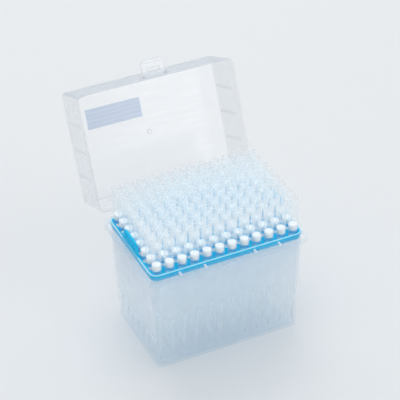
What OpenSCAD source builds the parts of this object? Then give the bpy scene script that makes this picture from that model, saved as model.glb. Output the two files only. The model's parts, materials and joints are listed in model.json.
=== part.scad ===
// Hinged tip box for a pipette: tub, flip lid with latch, lift-out rack and 96 filter tips.
// Millimetres, +Z up, origin at the centre of the tub underside, front (latch side) faces -Y.
// Drawn at rest: lid open on its stop, latch standing straight out, rack and tips seated.

/* [Tip grid] */
// Columns of tips along the long side
cols = 12; // [2:1:12]
// Rows of tips along the short side
rows = 8; // [2:1:8]
// Centre to centre pitch of the wells
pitch = 9; // [8:0.5:10]

/* [Tub] */
// Half length of the tub underside
tub_hx = 51.9; // [48:0.1:60]
// Half width of the tub underside
tub_hy = 33.7; // [30:0.1:44]
// Corner radius at the underside
tub_r = 2.2; // [1:0.1:6]
// Outward draft from underside to lip, per side
tub_draft = 3.3; // [0:0.1:6]
// Height of the lip the rack hangs on
lip_z = 78.4; // [60:0.1:90]
// Wall thickness of the tub
tub_wall = 1.3; // [0.8:0.1:2.5]
// Thickness of the thinned lip
lip_wall = 0.8; // [0.6:0.1:1.5]
// Height where the wall thins to the lip
ledge_z = 74; // [60:0.1:80]
// Floor thickness
floor_t = 1.5; // [1:0.1:3]

/* [Flange] */
// Half length of the flange
flange_hx = 58.2; // [52:0.1:70]
// Half width of the flange
flange_hy = 40.45; // [34:0.1:50]
// Flange corner radius
flange_r = 6; // [2:0.5:10]
// Top face of the flange
flange_z = 77.7; // [60:0.1:90]
// Flange plate thickness
flange_t = 1.3; // [0.8:0.1:2.5]
// Underside of the flange skirt
skirt_z = 73; // [60:0.1:80]
// Skirt thickness
skirt_t = 1.1; // [0.8:0.1:2]
// Spacing of the upright gussets on the front flange
gusset_pitch = 18; // [10:1:30]
// Gusset thickness
gusset_t = 1.4; // [0.8:0.1:3]

/* [Rack] */
// Top face of the rack rim
rack_z = 79.6; // [70:0.1:90]
// Thickness of the hanging rim
rack_rim_t = 1.2; // [0.8:0.1:2]
// Top face of the sunk plate
plate_z = 76.6; // [70:0.1:88]
// Plate thickness
plate_t = 2; // [1:0.1:4]
// Half length of the sunk area
well_hx = 53.15; // [50:0.05:60]
// Half width of the sunk area
well_hy = 35.15; // [32:0.05:45]
// Half length of the rack skirt
rack_hx = 53.95; // [50:0.05:60]
// Half width of the rack skirt
rack_hy = 35.75; // [32:0.05:45]
// Radius of the tip holes
hole_r = 3.1; // [2:0.05:4]
// Top of the end finger tabs
tab_z = 88.6; // [82:0.1:95]
// Half width of a finger tab at its top
tab_top = 8.4; // [4:0.1:14]
// Half width of a finger tab at its root
tab_root = 13.2; // [6:0.1:20]
// Thickness of a finger tab
tab_t = 1.2; // [0.8:0.1:2.5]

/* [Tips] */
// Mouth height
mouth_z = 106.4; // [100:0.1:112]
// Outer radius at the mouth
mouth_r = 3.6; // [3:0.05:4]
// Bore radius of the straight mouth socket
mouth_bore = 3.2; // [2.5:0.05:3.5]
// Depth of the straight mouth socket
mouth_depth = 10.4; // [4:0.1:16]
// Outer radius where the collar stands on the plate
collar_r = 3.45; // [3:0.05:4]
// Outer radius just below the plate
body_r = 2.9; // [2:0.05:3.5]
// Lower end of the tips
tip_end_z = 6; // [3:0.1:30]
// Outer radius of the lower end
tip_end_r = 0.75; // [0.4:0.05:1.5]
// Bore radius of the lower end
tip_end_bore = 0.4; // [0.2:0.05:1]

/* [Filters] */
// Lower face of the filter plugs
filter_z0 = 80.9; // [78:0.1:90]
// Upper face of the filter plugs
filter_z1 = 85.4; // [80:0.1:98]
// Filter plug radius
filter_r = 2.92; // [2:0.01:3.2]

/* [Lid] */
// Opening angle from closed to the stop
open_deg = 112.85; // [90:0.05:150]
// Hinge axis distance behind the centre
hinge_y = 42.6; // [41:0.1:50]
// Hinge axis height
hinge_z = 78.2; // [70:0.1:90]
// Lower edge of the closed lid
lid_z0 = 77.95; // [70:0.05:90]
// Upper face of the closed lid
lid_z1 = 114; // [100:0.1:130]
// Half length of the lid at its edge
lid_hx = 58.1; // [52:0.1:70]
// Half width of the lid at its edge
lid_hy = 40.85; // [34:0.05:50]
// Lid corner radius at its edge
lid_r = 4; // [2:0.5:10]
// Inward draft of the lid, per side
lid_draft = 0.8; // [0:0.1:4]
// Lid wall thickness
lid_wall = 1.1; // [0.8:0.1:2.5]
// Inner relief of the front wall, clear of the tips' mouths as the lid swings
lid_relief = 0.4; // [0:0.05:0.6]
// Height of that relief above the lid's edge
lid_relief_h = 13; // [0:0.5:20]
// Thickness of the lid's top panel
lid_top = 1.3; // [0.8:0.1:2.5]
// Chamfer round the top of the lid
lid_chamfer = 1.6; // [0.5:0.1:4]
// Spacing of the ribs on the end walls
lid_rib_pitch = 18.5; // [10:0.5:30]
// Rib height above the wall
lid_rib_h = 0.7; // [0.3:0.1:2]

/* [Hinge] */
// Distance of each hinge station from the centre
hinge_x = 36; // [15:1:48]
// Hinge pin radius
pin_r = 1.15; // [0.8:0.05:2]
// Bore radius of the lid knuckle
knuckle_bore = 1.4; // [1:0.05:2.2]
// Outer radius of the lid knuckle
knuckle_r = 2.5; // [1.8:0.1:4]
// Half width of the lid knuckle
knuckle_hw = 4.1; // [2:0.1:8]
// Side gap between knuckle and ears
ear_gap = 0.3; // [0.1:0.05:1]
// Ear thickness
ear_t = 2; // [1:0.1:4]
// Ear outer radius
ear_r = 2.3; // [1.6:0.1:4]

/* [Latch] */
// Latch axis distance in front of the centre, lid closed
latch_y = -42.2; // [-50:0.1:-40]
// Latch axis height, lid closed
latch_z = 79.4; // [70:0.1:90]
// Half width of the latch flap
latch_hw = 8.3; // [4:0.1:14]
// Reach of the flap from its axis
latch_len = 11.4; // [8:0.1:20]
// Flap thickness
latch_t = 1.5; // [0.8:0.1:3]
// Barrel radius
barrel_r = 1.25; // [0.8:0.05:2]
// Pin stub radius
stub_r = 0.7; // [0.4:0.05:1.2]
// Window near edge from the axis
win_a = 2.9; // [2:0.1:6]
// Window far edge from the axis
win_b = 5.7; // [3:0.1:9]
// Half width of the window
win_hw = 4.6; // [2:0.1:7]
// Half width of the catch on the tub
catch_hw = 4.2; // [2:0.1:7]

/* [Label] */
// Left edge of the write-on label, lid closed
label_x0 = -43; // [-50:0.5:20]
// Right edge of the write-on label
label_x1 = -2.2; // [-20:0.5:50]
// Front edge of the write-on label
label_y0 = -24.2; // [-36:0.5:20]
// Back edge of the write-on label
label_y1 = -10; // [-20:0.5:36]
// Label thickness
label_t = 0.2; // [0.1:0.05:0.5]

/* [Hidden] */
$fn = 48;
e = 0.01;
x0 = -(cols - 1) * pitch / 2;
y0 = -(rows - 1) * pitch / 2;
clear_col = [0.88, 0.92, 0.96, 0.45];
lid_col = [0.90, 0.93, 0.96, 0.40];
rack_col = [0.05, 0.55, 0.88, 1];
tip_col = [0.85, 0.93, 0.97, 0.50];
filter_col = [0.97, 0.97, 0.96, 1];
label_col = [0.62, 0.72, 0.88, 1];

// Block with drafted walls and cone corners: sizes at za, growing by d per side up to zb.
module drafted(hx, hy, r, d, za, zb) {
    h = zb - za;
    cx = hx - r;
    cy = hy - r;
    translate([0, cy, za])
        rotate([90, 0, 0])
            linear_extrude(2 * cy)
                polygon([[-hx, 0], [hx, 0], [hx + d, h], [-hx - d, h]]);
    translate([-cx, 0, za])
        rotate([90, 0, 90])
            linear_extrude(2 * cx)
                polygon([[-hy, 0], [hy, 0], [hy + d, h], [-hy - d, h]]);
    for (sx = [-1, 1])
        for (sy = [-1, 1])
            translate([sx * cx, sy * cy, za])
                cylinder(h = h, r1 = r, r2 = r + d);
}

// Upright block with round corners.
module slab(hx, hy, r, za, zb) {
    h = zb - za;
    translate([r - hx, -hy, za])
        cube([2 * (hx - r), 2 * hy, h]);
    translate([-hx, r - hy, za])
        cube([2 * hx, 2 * (hy - r), h]);
    for (sx = [-1, 1])
        for (sy = [-1, 1])
            translate([sx * (hx - r), sy * (hy - r), za])
                cylinder(h = h, r = r);
}

function wall_out(z) = tub_draft * z / lip_z;

module tub() {
    color(clear_col)
        difference() {
            union() {
                drafted(tub_hx, tub_hy, tub_r, tub_draft, 0, lip_z);
                tub_flange();
                tub_gussets();
                tub_ears();
                tub_catch();
            }
            tub_cavity();
        }
}

module tub_cavity() {
    g = wall_out(floor_t);
    m = wall_out(ledge_z);
    k = wall_out(lip_z);
    n = wall_out(ledge_z + 0.5);
    drafted(tub_hx + g - tub_wall, tub_hy + g - tub_wall, tub_r + g - tub_wall + 0.3,
            n - g, floor_t, ledge_z + 0.5);
    drafted(tub_hx + m - lip_wall, tub_hy + m - lip_wall, tub_r + m - lip_wall,
            k - m, ledge_z, lip_z);
    slab(tub_hx + k - lip_wall, tub_hy + k - lip_wall, tub_r + k - lip_wall, lip_z, lip_z + 1);
}

module tub_flange() {
    difference() {
        slab(flange_hx, flange_hy, flange_r, skirt_z, flange_z);
        slab(flange_hx - skirt_t, flange_hy - skirt_t, flange_r - skirt_t, skirt_z - 1,
             flange_z - flange_t);
        slab(tub_hx, tub_hy, tub_r, skirt_z - 1, flange_z + 1);
        for (s = [-1, 1])
            translate([s * hinge_x - knuckle_hw - ear_gap - 0.5, 39, skirt_z - 1])
                cube([2 * (knuckle_hw + ear_gap) + 1, 4, flange_z - skirt_z + 2]);
    }
}

module tub_gussets() {
    for (s = [-2, -1, 1, 2])
        translate([s * gusset_pitch - gusset_t / 2, 0, flange_z - 0.5])
            rotate([90, 0, 90])
                linear_extrude(gusset_t)
                    polygon([[-36.6, 0], [-40, 0], [-39.6, 0.6], [-37.4, 1.1], [-36.6, 1.1]]);
}

module tub_ears() {
    for (s = [-1, 1])
        for (q = [-1, 1])
            translate([s * hinge_x + q * (knuckle_hw + ear_gap + ear_t / 2) - ear_t / 2, 0, 0])
                rotate([90, 0, 90])
                    linear_extrude(ear_t)
                        union() {
                            translate([hinge_y, hinge_z])
                                circle(r = ear_r);
                            polygon([[38.6, skirt_z + 0.3], [hinge_y - 0.6, skirt_z + 0.3],
                                     [hinge_y + ear_r - 0.1, hinge_z - 2.4],
                                     [hinge_y + ear_r - 0.1, hinge_z],
                                     [hinge_y - ear_r + 0.1, hinge_z],
                                     [39.9, flange_z - 0.4], [38.6, flange_z - 0.4]]);
                        }
    for (s = [-1, 1])
        translate([s * hinge_x - knuckle_hw - ear_gap - 1, hinge_y, hinge_z])
            rotate([0, 90, 0])
                cylinder(h = 2 * (knuckle_hw + ear_gap + 1), r = pin_r);
}

module tub_catch() {
    translate([-catch_hw, 0, 0])
        rotate([90, 0, 90])
            linear_extrude(2 * catch_hw)
                polygon([[-flange_hy + 0.5, 74], [-42.7, 74], [-42.7, 74.7],
                         [-flange_hy + 0.2, 76.1], [-flange_hy + 0.5, 76.1]]);
}

// Puts closed-lid drawing into the open rest position.
module opened() {
    translate([0, hinge_y, hinge_z])
        rotate([-open_deg, 0, 0])
            translate([0, -hinge_y, -hinge_z])
                children();
}

module lid() {
    color(lid_col)
        opened()
            difference() {
                union() {
                    lid_shell();
                    lid_ribs();
                    lid_knuckles();
                    latch_lugs();
                    lid_gate();
                }
                for (s = [-1, 1])
                    translate([s * hinge_x - 9, hinge_y, hinge_z])
                        rotate([0, 90, 0])
                            cylinder(h = 18, r = knuckle_bore);
            }
}

module lid_shell() {
    h = lid_z1 - lid_z0;
    zc = lid_z1 - lid_chamfer;
    dc = lid_draft * (zc - lid_z0) / h;
    difference() {
        union() {
            drafted(lid_hx, lid_hy, lid_r, -dc, lid_z0, zc);
            drafted(lid_hx - dc, lid_hy - dc, lid_r - dc, -lid_chamfer * 0.7, zc, lid_z1);
        }
        drafted(lid_hx - lid_wall, lid_hy - lid_wall, lid_r - lid_wall, -lid_draft,
                lid_z0, lid_z1 - lid_top);
        slab(lid_hx - lid_wall, lid_hy - lid_wall, lid_r - lid_wall, lid_z0 - 1, lid_z0);
        for (s = [-1, 1])
            for (q = [-1, 1])
                translate([s * hinge_x + q * (knuckle_hw + 1.1) - 1.6, 38, lid_z0 - 1])
                    cube([3.2, 5, 4.3]);
        lid_front_relief();
    }
}

module lid_front_relief() {
    a = lid_hy - lid_wall + lid_relief;
    k = lid_draft * lid_relief_h / (lid_z1 - lid_z0);
    translate([-51.8, 0, 0])
        rotate([90, 0, 90])
            linear_extrude(103.6)
                polygon([[-a, lid_z0 - 0.5], [-a, lid_z0], [-a + k, lid_z0 + lid_relief_h],
                         [-a + 1.2, lid_z0 + lid_relief_h + 1.2], [-a + 1.2, lid_z0 - 0.5]]);
}

module lid_ribs() {
    for (s = [-1, 1])
        for (k = [-1, 0, 1])
            translate([0, k * lid_rib_pitch + 0.6, 0])
                rotate([90, 0, 0])
                    linear_extrude(1.2)
                        polygon([[s * (lid_hx - 0.6), 87], [s * (lid_hx - lid_wall - 0.3), 87],
                                 [s * (lid_hx - lid_wall - lid_rib_h - 0.2), 88.5],
                                 [s * (lid_hx - lid_wall - lid_rib_h - 0.75), 111],
                                 [s * (lid_hx - lid_wall - 0.75), 112.9],
                                 [s * (lid_hx - 1.5), 112.9]]);
}

module lid_gate() {
    translate([0, 1.5, lid_z1 - 1.8])
        cylinder(h = 0.9, r = 1.6);
}

module lid_knuckles() {
    for (s = [-1, 1]) {
        translate([s * hinge_x - knuckle_hw, 0, 0])
            rotate([90, 0, 90])
                linear_extrude(2 * knuckle_hw)
                    union() {
                        translate([hinge_y, hinge_z])
                            circle(r = knuckle_r);
                        polygon([[lid_hy - 0.7, lid_z0 + 0.1], [hinge_y, lid_z0 + 0.1],
                                 [hinge_y, hinge_z + knuckle_r - 0.2], [lid_hy + 0.1, 82.6],
                                 [lid_hy - 0.7, 82.6]]);
                    }
        translate([s * hinge_x - knuckle_hw + 0.5, hinge_y, hinge_z])
            rotate([open_deg, 0, 0])
                rotate([90, 0, 90])
                    linear_extrude(2 * knuckle_hw - 1)
                        polygon([[-1.7, -1], [-3.3, -1.6], [-3.3, -2.9], [-2.5, -3.4],
                                 [0.4, -2.4], [0.4, -1.8]]);
    }
}

module latch_lugs() {
    for (s = [-1, 1]) {
        translate([s * (latch_hw + 1.5) - 0.9, 0, 0])
            rotate([90, 0, 90])
                linear_extrude(1.8)
                    union() {
                        translate([latch_y, latch_z])
                            circle(r = 1.4);
                        polygon([[-lid_hy + 0.6, lid_z0 + 0.1], [latch_y, latch_z - 1.3],
                                 [latch_y, latch_z + 1.3], [-lid_hy + 0.6, latch_z + 2.4]]);
                    }
        translate([s * (latch_hw + 0.2) - 0.7, latch_y, latch_z])
            rotate([0, 90, 0])
                cylinder(h = 1.4, r = stub_r);
    }
}

module latch_flap() {
    color(lid_col)
        opened()
            translate([0, latch_y, latch_z])
                difference() {
                    union() {
                        translate([-latch_hw, 0, 0])
                            rotate([0, 90, 0])
                                cylinder(h = 2 * latch_hw, r = barrel_r);
                        flap_plate();
                        translate([-latch_hw + 1.6, -latch_len + 1.7, latch_t / 2 - 0.2])
                            rotate([0, 90, 0])
                                cylinder(h = 2 * latch_hw - 3.2, r = 0.9);
                    }
                    translate([-win_hw, -win_b, -2])
                        cube([2 * win_hw, win_b - win_a, 4]);
                    for (s = [-1, 1])
                        translate([s * latch_hw - 1.2, 0, 0])
                            rotate([0, 90, 0])
                                cylinder(h = 2.4, r = stub_r + 0.2);
                }
}

module flap_plate() {
    r = 3;
    translate([-latch_hw, -latch_len + r, -latch_t / 2])
        cube([2 * latch_hw, latch_len - r, latch_t]);
    translate([-latch_hw + r, -latch_len, -latch_t / 2])
        cube([2 * (latch_hw - r), latch_len, latch_t]);
    for (s = [-1, 1])
        translate([s * (latch_hw - r), -latch_len + r, -latch_t / 2])
            cylinder(h = latch_t, r = r);
}

module label_panel() {
    color(label_col)
        opened()
            translate([label_x0, label_y0, lid_z1])
                cube([label_x1 - label_x0, label_y1 - label_y0, label_t]);
}

module rack() {
    color(rack_col)
        difference() {
            union() {
                slab(tub_hx + tub_draft, tub_hy + tub_draft, tub_r + tub_draft,
                     rack_z - rack_rim_t, rack_z);
                slab(rack_hx, rack_hy, 4.2, plate_z - plate_t, rack_z - rack_rim_t + e);
                for (s = [-1, 1])
                    rack_tab(s);
            }
            difference() {
                slab(well_hx, well_hy, 3.6, plate_z, rack_z + 1);
                for (s = [-1, 1])
                    rack_tab(s);
            }
            for (i = [0 : cols - 1])
                for (j = [0 : rows - 1])
                    translate([x0 + i * pitch, y0 + j * pitch, plate_z - plate_t - 1])
                        cylinder(h = plate_t + 2, r = hole_r);
        }
}

module rack_tab(s) {
    xa = s > 0 ? 54.6 - tab_t : -54.6;
    translate([xa, 0, 0])
        rotate([90, 0, 90])
            linear_extrude(tab_t)
                polygon([[-tab_root, rack_z - 0.6], [tab_root, rack_z - 0.6],
                         [tab_root - 1.6, rack_z + 3.2], [tab_top, tab_z], [-tab_top, tab_z],
                         [-tab_root + 1.6, rack_z + 3.2]]);
    for (k = [0, 1, 2])
        translate([s > 0 ? 54.6 - 0.2 : -54.6 - 0.3, -8, rack_z + 2.6 + 2 * k])
            cube([0.5, 16, 0.7]);
}

module tip() {
    rotate_extrude()
        polygon([[mouth_bore + 0.12, mouth_z], [mouth_r - 0.2, mouth_z],
                 [mouth_r, mouth_z - 0.2], [mouth_r, mouth_z - 1.6],
                 [mouth_r - 0.1, mouth_z - 1.8], [collar_r, plate_z + 0.4],
                 [collar_r - 0.1, plate_z], [body_r, plate_z], [body_r, plate_z - 2.2],
                 [1.95, 36], [tip_end_r, tip_end_z], [tip_end_bore, tip_end_z],
                 [1.5, 36], [2.4, plate_z - 2.2], [2.5, filter_z0],
                 [filter_r + 0.03, filter_z0], [filter_r + 0.06, filter_z1 + 0.8],
                 [mouth_bore, mouth_z - mouth_depth], [mouth_bore, mouth_z - 0.25]]);
}

module tip_column(i) {
    color(tip_col)
        for (j = [0 : rows - 1])
            translate([x0 + (i - 1) * pitch, y0 + j * pitch, 0])
                tip();
}

module filter_column(i) {
    color(filter_col)
        for (j = [0 : rows - 1])
            translate([x0 + (i - 1) * pitch, y0 + j * pitch, filter_z0])
                cylinder(h = filter_z1 - filter_z0, r = filter_r);
}

tub();
lid();
label_panel();
latch_flap();
rack();
tip_column(1);  // tips_col_01
tip_column(2);  // tips_col_02
tip_column(3);  // tips_col_03
tip_column(4);  // tips_col_04
tip_column(5);  // tips_col_05
tip_column(6);  // tips_col_06
tip_column(7);  // tips_col_07
tip_column(8);  // tips_col_08
tip_column(9);  // tips_col_09
tip_column(10);  // tips_col_10
tip_column(11);  // tips_col_11
tip_column(12);  // tips_col_12
filter_column(1);  // filters_col_01
filter_column(2);  // filters_col_02
filter_column(3);  // filters_col_03
filter_column(4);  // filters_col_04
filter_column(5);  // filters_col_05
filter_column(6);  // filters_col_06
filter_column(7);  // filters_col_07
filter_column(8);  // filters_col_08
filter_column(9);  // filters_col_09
filter_column(10);  // filters_col_10
filter_column(11);  // filters_col_11
filter_column(12);  // filters_col_12
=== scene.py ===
"""Pipette tip box with its lid open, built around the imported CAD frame."""
import json
import math
import random

import bmesh
import bpy
from mathutils import Matrix, Vector


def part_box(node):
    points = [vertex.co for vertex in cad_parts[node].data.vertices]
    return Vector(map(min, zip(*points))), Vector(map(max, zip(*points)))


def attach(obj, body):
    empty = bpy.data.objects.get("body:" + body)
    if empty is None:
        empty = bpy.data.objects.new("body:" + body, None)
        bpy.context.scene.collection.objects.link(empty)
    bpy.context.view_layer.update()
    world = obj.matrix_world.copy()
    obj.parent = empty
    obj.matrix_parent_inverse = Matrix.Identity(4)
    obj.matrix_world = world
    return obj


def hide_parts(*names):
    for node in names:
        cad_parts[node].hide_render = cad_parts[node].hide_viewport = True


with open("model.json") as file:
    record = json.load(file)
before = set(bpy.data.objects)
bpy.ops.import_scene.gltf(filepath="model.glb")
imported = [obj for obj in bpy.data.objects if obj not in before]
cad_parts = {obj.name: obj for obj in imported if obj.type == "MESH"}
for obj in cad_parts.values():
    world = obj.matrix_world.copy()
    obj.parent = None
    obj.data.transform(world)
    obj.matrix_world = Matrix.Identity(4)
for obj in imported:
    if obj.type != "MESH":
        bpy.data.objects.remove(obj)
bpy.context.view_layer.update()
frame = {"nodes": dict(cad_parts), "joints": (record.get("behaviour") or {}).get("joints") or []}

NODES = frame["nodes"]
COLUMNS = 12
ROWS = 8
PITCH = 9.0  # mm
MM = 0.001
SCENE = bpy.context.scene

# ---------------------------------------------------------------- camera
EYE = Vector((-0.365447, -0.795976, 0.710165))
FORWARD = Vector((0.339821, 0.746965, -0.571458)).normalized()
ROLL = math.radians(-1.41)
LENS, SENSOR = 145.3, 36  # mm


def make_camera():
    right = FORWARD.cross(Vector((0, 0, 1))).normalized()
    up = right.cross(FORWARD)
    r = right * math.cos(ROLL) + up * math.sin(ROLL)
    u = up * math.cos(ROLL) - right * math.sin(ROLL)
    data = bpy.data.cameras.new("camera")
    data.lens, data.sensor_width = LENS, SENSOR
    data.clip_start, data.clip_end = 0.05, 50
    cam = bpy.data.objects.new("camera", data)
    SCENE.collection.objects.link(cam)
    m = Matrix((r, u, -FORWARD)).transposed().to_4x4()
    m.translation = EYE
    cam.matrix_world = m
    SCENE.camera = cam


# ---------------------------------------------------------------- node helpers
class Tree:
    """A material's node tree, with short ways to add and join nodes."""

    def __init__(self, name):
        self.mat = bpy.data.materials.new(name)
        self.mat.use_nodes = True
        self.nt = self.mat.node_tree
        self.nt.nodes.clear()
        self.out = self.nt.nodes.new("ShaderNodeOutputMaterial")
        self.coords = self.nt.nodes.new("ShaderNodeTexCoord").outputs["Object"]

    def put(self, socket, value):
        if isinstance(value, bpy.types.NodeSocket):
            self.nt.links.new(value, socket)
        elif isinstance(value, (tuple, list)) and len(value) == 3 and socket.type == "RGBA":
            socket.default_value = (*value, 1)
        else:
            socket.default_value = value

    def node(self, kind, inputs=None, **attrs):
        n = self.nt.nodes.new("ShaderNode" + kind)
        for k, v in attrs.items():
            setattr(n, k, v)
        for k, v in (inputs or {}).items():
            self.put(n.inputs[k], v)
        return n

    def math(self, op, a, b=0.0, c=None):
        n = self.node("Math", {0: a, 1: b}, operation=op)
        if c is not None:
            self.put(n.inputs[2], c)
        return n.outputs[0]

    def times(self, a, b):
        return self.math("MULTIPLY", a, b)

    def split(self, vector=None):
        return self.node("SeparateXYZ", {"Vector": vector or self.coords}).outputs

    def stretched(self, scale):
        return self.node("Mapping", {"Vector": self.coords, "Scale": scale}).outputs["Vector"]

    def noise(self, scale, detail=3.0, rough=0.5, vector=None):
        return self.node("TexNoise", {"Vector": vector or self.coords, "Scale": scale,
                                      "Detail": detail, "Roughness": rough}).outputs["Fac"]

    def span(self, value, lo, hi, a=0.0, b=1.0):
        """value taken from the range a to b onto lo to hi."""
        return self.node("MapRange", {"Value": value, "From Min": a, "From Max": b,
                                      "To Min": lo, "To Max": hi}).outputs["Result"]

    def blend(self, fac, a, b):
        n = self.node("Mix", data_type="RGBA")
        self.put(n.inputs[0], fac)
        self.put(n.inputs[6], a)
        self.put(n.inputs[7], b)
        return n.outputs[2]

    def bump(self, height, strength, distance, normal=None):
        ins = {"Height": height, "Strength": strength, "Distance": distance}
        if normal is not None:
            ins["Normal"] = normal
        return self.node("Bump", ins).outputs["Normal"]

    def shader(self, kind, **inputs):
        """A plain shader: the inputs' names have _ for a space."""
        return self.node("Bsdf" + kind,
                         {k.replace("_", " "): v for k, v in inputs.items()}).outputs[0]

    def mix(self, fac, a, b):
        return self.node("MixShader", {0: fac, 1: a, 2: b}).outputs[0]

    def done(self, shader):
        self.nt.links.new(shader, self.out.inputs["Surface"])
        return self.mat


def dimmed(colour, factor):
    return tuple(c * factor for c in colour)


# ---------------------------------------------------------------- clear plastic
FROST = (0.80, 0.825, 0.862)
CORNER_RADIUS = 0.0007
STREAK_DIM = 0.965  # the milk's colour where the melt's streaks are darkest


def film(name, tint, edge_tint, milk, haze, gloss, roughness, grain, flow, lamp_pass,
         corners=None, zones=None, along=1.0):
    """Moulded see-through plastic: clear film, cloudy body, darker at grazing edges, soft gloss.

    haze is the cloudy share seen face on and edge on, gloss the mirror share face on and its
    rise edge on. flow is how uneven the cloudiness is, and along draws it out along Z, as the
    melt flowed. corners gives how much the moulded corners cloud and what they let through.
    zones(t) may give "scale", a factor on the haze; "thick", a cloudy share in thick places;
    and "frost", a share that is frosted grey. lamp_pass is the share of the lamps' light that
    comes straight through, because clear plastic gathers what a plain shadow would stop.
    """
    t = Tree(name)
    cloud = t.noise(90, 4, 0.6, t.stretched((1.0, 1.0, along)))
    marks = t.noise(14, 3, 0.55, t.stretched((1.0, 1.0, 0.25 * along)))
    fine = t.noise(grain, 3, 0.6)
    scratch = t.noise(500, 2, 0.6, t.stretched((0.08, 1.0, 1.0)))
    normal = t.bump(fine, 0.12, 0.00025)
    normal = t.bump(marks, 0.02, 0.0006, normal)

    facing = t.node("LayerWeight", {"Blend": 0.35}).outputs["Facing"]
    body = t.times(t.span(cloud, 1 - flow, 1 + flow, 0.3, 0.7), t.span(facing, *haze))
    through = t.blend(facing, tint, edge_tint)
    zone = zones(t) if zones else {}
    if "scale" in zone:
        body = t.times(body, zone["scale"])
    if "thick" in zone:
        body = t.math("MAXIMUM", body, zone["thick"])
    if "frost" in zone:
        grazed = t.times(zone["frost"], t.span(facing, 0.2, 1.0, 0.15, 0.6))
        through = t.blend(grazed, through, FROST)
    if corners:
        rounded = t.node("Bevel", {"Radius": CORNER_RADIUS}, samples=3).outputs[0]
        flat = t.node("NewGeometry").outputs["Normal"]
        agree = t.node("VectorMath", {0: rounded, 1: flat},
                       operation="DOT_PRODUCT").outputs["Value"]
        corner = t.span(agree, 1.0, 0.0, 0.72, 0.97)
        body = t.math("ADD", body, t.times(corner, corners[0]))
        through = t.blend(corner, through, dimmed(edge_tint, corners[1]))

    streaked = t.blend(t.span(marks, 0, 1, 0.35, 0.65), milk, dimmed(milk, STREAK_DIM))
    cloudy = t.mix(0.5, t.shader("Diffuse", Color=streaked, Normal=normal),
                   t.shader("Translucent", Color=milk, Normal=normal))
    worn = t.span(scratch, roughness * 0.8, roughness * 1.35, 0.3, 0.7)
    shine = t.shader("Glossy", Color=(1, 1, 1), Normal=normal,
                     Roughness=t.math("ADD", worn, t.span(cloud, -0.02, 0.03)))
    # The mirror share rises edge on, on outer faces only: the Fresnel node would mirror
    # wholly inside a thin wall.
    slope = t.node("LayerWeight", {"Blend": 0.5, "Normal": normal}).outputs["Facing"]
    mirror = t.math("MULTIPLY_ADD", t.math("POWER", slope, 4.0), gloss[1], gloss[0])
    outside = t.math("SUBTRACT", 1.0, t.node("NewGeometry").outputs["Backfacing"])
    seen = t.mix(t.times(mirror, outside),
                 t.mix(body, t.shader("Transparent", Color=through), cloudy), shine)

    shadow = t.node("LightPath").outputs["Is Shadow Ray"]
    return t.done(t.mix(t.times(shadow, lamp_pass), seen,
                        t.shader("Transparent", Color=(1, 1, 1))))


WALL_Z = (0.004, 0.074)       # the tub's wall, over which the haze grows
SKIRT_Z = (0.0722, 0.0730)    # where the clearer skirt and flange begin
GUSSET_X = (0.018, 0.036)     # the gussets stand at plus and minus these
GUSSET_HALF = 0.00075
GUSSET_Y, GUSSET_REACH = -0.0385, 0.0018
GUSSET_Z = 0.0772


def tub_zones(t):
    """Cloudier towards the rim, and cloudy through the thick gussets on the front flange."""
    x, y, z = t.split()
    scale = t.times(t.span(z, 0.30, 2.9, *WALL_Z), t.span(z, 1.0, 0.18, *SKIRT_Z))
    near = [t.math("COMPARE", t.math("ABSOLUTE", x), g, GUSSET_HALF) for g in GUSSET_X]
    gusset = t.times(t.times(t.math("MAXIMUM", *near),
                             t.math("COMPARE", y, GUSSET_Y, GUSSET_REACH)),
                     t.math("GREATER_THAN", z, GUSSET_Z))
    return {"scale": scale, "thick": t.times(gusset, 0.8)}


MOUTH_Z = (0.087, 0.104)


def tip_zones(t):
    """The mouths are cloudier than the socket round the filter and the slim body below."""
    return {"scale": t.span(t.split()[2], 0.60, 1.65, *MOUTH_Z)}


LID_HINGE = next(j for j in frame["joints"] if j["name"] == "lid_hinge")
LID_OPEN = math.radians(-LID_HINGE["range_deg"][0])
LID_FRONT_Y, LID_FRONT_REACH = -0.0399, 0.0012


def lid_zones(t):
    """The lid's front wall is frosted. Worked out on the lid as it stands closed."""
    closed = t.node("VectorRotate", {"Vector": t.coords, "Center": tuple(LID_HINGE["pos_m"]),
                                     "Angle": LID_OPEN}, rotation_type="X_AXIS").outputs[0]
    return {"frost": t.math("COMPARE", t.split(closed)[1], LID_FRONT_Y, LID_FRONT_REACH)}


# ---------------------------------------------------------------- other materials
RIM_RADIUS = 0.0055
RIM_Z = 0.0796
PAINTED_HIGHLIGHT_LINE = (0.00125, 0.00085)  # the painted highlight line's inner edge and full strength, from the outside


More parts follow.
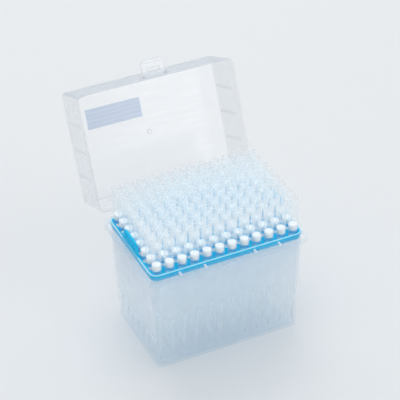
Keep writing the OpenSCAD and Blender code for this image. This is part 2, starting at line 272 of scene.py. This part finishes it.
def rack_plastic():
    """Saturated blue, with a painted highlight: a pale cyan line along the outer edge of the
    rim's top.
    """
    rim_x, rim_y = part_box("rack")[1][:2]
    t = Tree("rack_blue_pp")
    fine = t.noise(1600, 3, 0.6)
    marks = t.noise(30, 4, 0.6)
    normal = t.bump(fine, 0.15, 0.0002)
    normal = t.bump(marks, 0.1, 0.001, normal)
    x, y, z = t.split()
    # reach: how far out a point is, from the centres of the rim's round corners
    qx = t.math("SUBTRACT", t.math("ABSOLUTE", x), float(rim_x) - RIM_RADIUS)
    qy = t.math("SUBTRACT", t.math("ABSOLUTE", y), float(rim_y) - RIM_RADIUS)
    px, py = t.math("MAXIMUM", qx, 0.0), t.math("MAXIMUM", qy, 0.0)
    out = t.math("SQRT", t.math("ADD", t.times(px, px), t.times(py, py)))
    reach = t.math("ADD", out, t.math("MINIMUM", t.math("MAXIMUM", qx, qy), 0.0))
    # painted highlight: a pale line along the rim's top outer edge, standing in for light caught
    # there
    painted_highlight = t.times(t.span(reach, 0.0, 1.0, *(RIM_RADIUS - d for d in PAINTED_HIGHLIGHT_LINE)),
                   t.math("COMPARE", z, RIM_Z, 0.00012))
    colour = t.blend(t.span(marks, 0, 1, 0.3, 0.7), (0.004, 0.66, 0.93), (0.012, 0.73, 0.97))
    # the pale cyan here is the painted highlight's colour
    colour = t.blend(painted_highlight, colour, (0.70, 0.96, 1.0))
    solid = t.shader("Principled", Base_Color=colour, IOR=1.49, Specular_IOR_Level=0.22,
                     Roughness=t.span(fine, 0.30, 0.44, 0.3, 0.7), Normal=normal)
    return t.done(t.mix(0.35, solid, t.shader("Translucent", Color=colour, Normal=normal)))


def filter_foam():
    """White sintered plugs: open pores and a little light from within."""
    t = Tree("filter_white_pe")
    pores = t.node("TexVoronoi", {"Vector": t.coords, "Scale": 2600.0}).outputs["Distance"]
    cloud = t.noise(700, 4, 0.6)
    colour = t.blend(t.span(cloud, 0, 1, 0.3, 0.7), (0.97, 0.98, 0.985), (0.91, 0.925, 0.945))
    return t.done(t.shader(
        "Principled", Base_Color=colour, Roughness=t.span(pores, 0.95, 0.75, 0.0, 0.6),
        Subsurface_Weight=0.25, Subsurface_Radius=(0.0008, 0.0008, 0.0008),
        Subsurface_Scale=1.0, Normal=t.bump(pores, 0.6, 0.00015)))


RULED_LINES = 5
LINE_HALF = 0.00028


def label_print():
    """A printed write-on field: pale blue, see-through, with plain paler ruled lines."""
    lo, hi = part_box("label_panel")
    t = Tree("label_blue_print")
    grain = t.noise(1300, 3, 0.6)
    wear = t.noise(60, 4, 0.65)
    colour = t.blend(t.span(wear, 0, 1, 0.35, 0.7), (0.63, 0.715, 0.83), (0.68, 0.75, 0.86))
    rise = t.math("SUBTRACT", t.split()[2], lo[2])
    lines = t.math("PINGPONG", rise, (hi[2] - lo[2]) / (2 * RULED_LINES))
    ruled = t.math("LESS_THAN", lines, LINE_HALF)
    colour = t.blend(t.times(ruled, 0.65), colour, (0.88, 0.93, 0.98))
    ink = t.shader("Principled", Base_Color=colour,
                   Roughness=t.span(grain, 0.42, 0.6, 0.3, 0.7),
                   Normal=t.bump(grain, 0.2, 0.0001))
    print_layer = t.mix(0.5, ink, t.shader("Translucent", Color=colour))
    return t.done(t.mix(0.60, t.shader("Transparent", Color=(0.86, 0.90, 0.97)), print_layer))


PP_TUB = film("tub_clear_pp", tint=(0.980, 0.990, 0.997), edge_tint=(0.930, 0.956, 0.976),
              milk=(0.990, 0.990, 1.0), haze=(0.07, 0.42), gloss=(0.035, 0.35), roughness=0.16,
              grain=900, flow=0.08, lamp_pass=0.65, corners=(0.03, 0.95), zones=tub_zones)
PP_LID = film("lid_clear_pp", tint=(0.990, 0.991, 0.992), edge_tint=(0.950, 0.955, 0.965),
              milk=(0.96, 0.965, 0.975), haze=(0.06, 0.36), gloss=(0.045, 0.35), roughness=0.13,
              grain=900, flow=0.12, lamp_pass=0.6, corners=(0.01, 0.62), zones=lid_zones)
PP_LATCH = film("latch_clear_pp", tint=(0.975, 0.98, 0.985), edge_tint=(0.92, 0.93, 0.95),
                milk=(0.95, 0.955, 0.97), haze=(0.10, 0.45), gloss=(0.045, 0.40),
                roughness=0.12, grain=900, flow=0.10, lamp_pass=0.6, corners=(0.10, 0.80))
PP_TIP = film("tip_clear_pp", tint=(0.996, 1.0, 1.0), edge_tint=(0.975, 0.992, 1.0),
              milk=(0.945, 0.965, 0.978), haze=(0.13, 0.34), gloss=(0.01, 0.10),
              roughness=0.10, grain=1500, flow=0.10, lamp_pass=0.85, zones=tip_zones,
              along=0.05)
FOAM = filter_foam()

# ---------------------------------------------------------------- pieces in mesh code
TIP_SIDES = 28
PLUG_SIDES = 24
PLUG_RADIUS = 2.90
PLUG_PITTING = 0.06  # mm, the most that a point of the porous top face sinks
TIP_OUTER = [(3.40, 106.40), (3.55, 106.34), (3.60, 106.20), (3.60, 104.8), (3.50, 104.6),
             (3.485, 98.0), (3.46, 88.0), (3.45, 77.0), (3.35, 76.6), (2.90, 76.6),
             (2.90, 74.4), (2.43, 55.0), (1.95, 36.0), (1.35, 21.0), (0.75, 6.0)]
TIP_INNER = [(0.40, 6.0), (0.94, 20.5), (1.50, 36.0), (1.95, 55.0), (2.40, 74.4), (2.50, 80.9),
             (2.95, 80.9), (2.98, 86.2), (3.20, 96.0), (3.20, 106.15), (3.32, 106.40)]


def lathe(bm, profile, x, y, sides):
    """A closed ring of faces: the profile turned round the vertical through x, y, in mm."""
    turns = [2 * math.pi * k / sides for k in range(sides)]
    rings = [[bm.verts.new(((x + r * math.cos(a)) * MM, (y + r * math.sin(a)) * MM, z * MM))
              for a in turns] for r, z in profile]
    for a, b in zip(rings, rings[1:] + rings[:1]):
        for k in range(sides):
            f = bm.faces.new((a[k], a[(k + 1) % sides], b[(k + 1) % sides], b[k]))
            f.smooth = True
    return rings


def mesh_object(name, bm, mat):
    mesh = bpy.data.meshes.new(name)
    bm.to_mesh(mesh)
    bm.free()
    mesh.materials.append(mat)
    o = bpy.data.objects.new(name, mesh)
    SCENE.collection.objects.link(o)
    return o


def column_piece(name, bm, mat, node, body):
    bmesh.ops.recalc_face_normals(bm, faces=bm.faces)
    o = mesh_object(name, bm, mat)
    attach(o, body)
    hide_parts(node)


def column_centres(node):
    lo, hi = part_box(node)
    x = (lo[0] + hi[0]) / 2 / MM
    y = (lo[1] + hi[1]) / 2 / MM
    return [(x, y + (j - (ROWS - 1) / 2) * PITCH) for j in range(ROWS)]


def make_tips(i):
    node = "tips_col_%02d" % i
    bm = bmesh.new()
    for x, y in column_centres(node):
        lathe(bm, TIP_OUTER + TIP_INNER, x, y, TIP_SIDES)
    column_piece("tip_row_%02d" % i, bm, PP_TIP, node, "tips_%02d" % i)


def make_filters(i):
    node = "filters_col_%02d" % i
    lo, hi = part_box(node)
    z0, z1, r = lo[2] / MM, hi[2] / MM, PLUG_RADIUS
    profile = [(0.35, z0), (r - 0.25, z0), (r, z0 + 0.2), (r, z1 - 0.35), (r - 0.1, z1 - 0.12),
               (r - 0.35, z1), (1.6, z1), (0.8, z1)]
    bm = bmesh.new()
    rng = random.Random(40 + i)
    for x, y in column_centres(node):
        rings = lathe(bm, profile, x, y, PLUG_SIDES)
        for ring in rings[3:]:
            for v in ring:
                v.co.z -= rng.uniform(0, PLUG_PITTING) * MM
        first, last = rings[0], rings[-1]
        bm.faces.new(first)
        bm.faces.new(last)
        for k in range(PLUG_SIDES):  # the turned ring is open in the middle: no inner wall
            n = (k + 1) % PLUG_SIDES
            bm.faces.remove(bm.faces.get((last[k], last[n], first[n], first[k])))
    column_piece("filter_row_%02d" % i, bm, FOAM, node, "tips_%02d" % i)


# ---------------------------------------------------------------- stage and light
def make_stage():
    t = Tree("floor_pale")
    grain = t.noise(40, 3, 0.5)
    mat = t.done(t.shader(
        "Principled", Base_Color=t.blend(grain, (0.755, 0.772, 0.785), (0.765, 0.782, 0.793)),
        Roughness=t.span(grain, 0.55, 0.62), Specular_IOR_Level=0.25))
    bm = bmesh.new()
    bmesh.ops.create_grid(bm, x_segments=2, y_segments=2, size=6)
    floor = mesh_object("floor", bm, mat)
    floor.location.z = -0.0002  # just under the tub's foot


SOFTBOXES = {  # place, what it points at, width and height in m, power in W
    "softbox_back": ((0.35, 1.2, 1.5), (0, 0, 0.06), (1.6, 1.2), 10),
    "softbox_top": ((-0.2, -0.1, 1.8), (0, 0, 0.0), (1.8, 1.8), 9),
    "softbox_front": ((1.1, -1.9, 0.86), (0, 0, 0.10), (1.0, 0.95), 7),
}


def make_light():
    for name, (place, target, size, power) in SOFTBOXES.items():
        data = bpy.data.lights.new(name, "AREA")
        data.shape, data.size, data.size_y = "RECTANGLE", size[0], size[1]
        data.energy = power
        o = bpy.data.objects.new(name, data)
        SCENE.collection.objects.link(o)
        o.location = place
        o.rotation_euler = (Vector(target) - Vector(place)).to_track_quat("-Z", "Y").to_euler()
    world = bpy.data.worlds.new("studio")
    world.use_nodes = True
    bg = world.node_tree.nodes["Background"]
    bg.inputs["Color"].default_value = (0.945, 0.972, 1.0, 1)
    bg.inputs["Strength"].default_value = 0.64
    SCENE.world = world


# ---------------------------------------------------------------- the scene
make_camera()
for kept, mat in (("tub", PP_TUB), ("lid", PP_LID), ("latch_flap", PP_LATCH),
                  ("rack", rack_plastic()), ("label_panel", label_print())):
    NODES[kept].data.materials.clear()
    NODES[kept].data.materials.append(mat)
for column in range(1, COLUMNS + 1):
    make_tips(column)
    make_filters(column)
make_stage()
make_light()

SCENE.view_settings.view_transform = "Standard"
SCENE.cycles.transparent_max_bounces = 160  # 96 thin-walled tips stand behind one another
SCENE.cycles.max_bounces = 24
SCENE.cycles.diffuse_bounces = 8
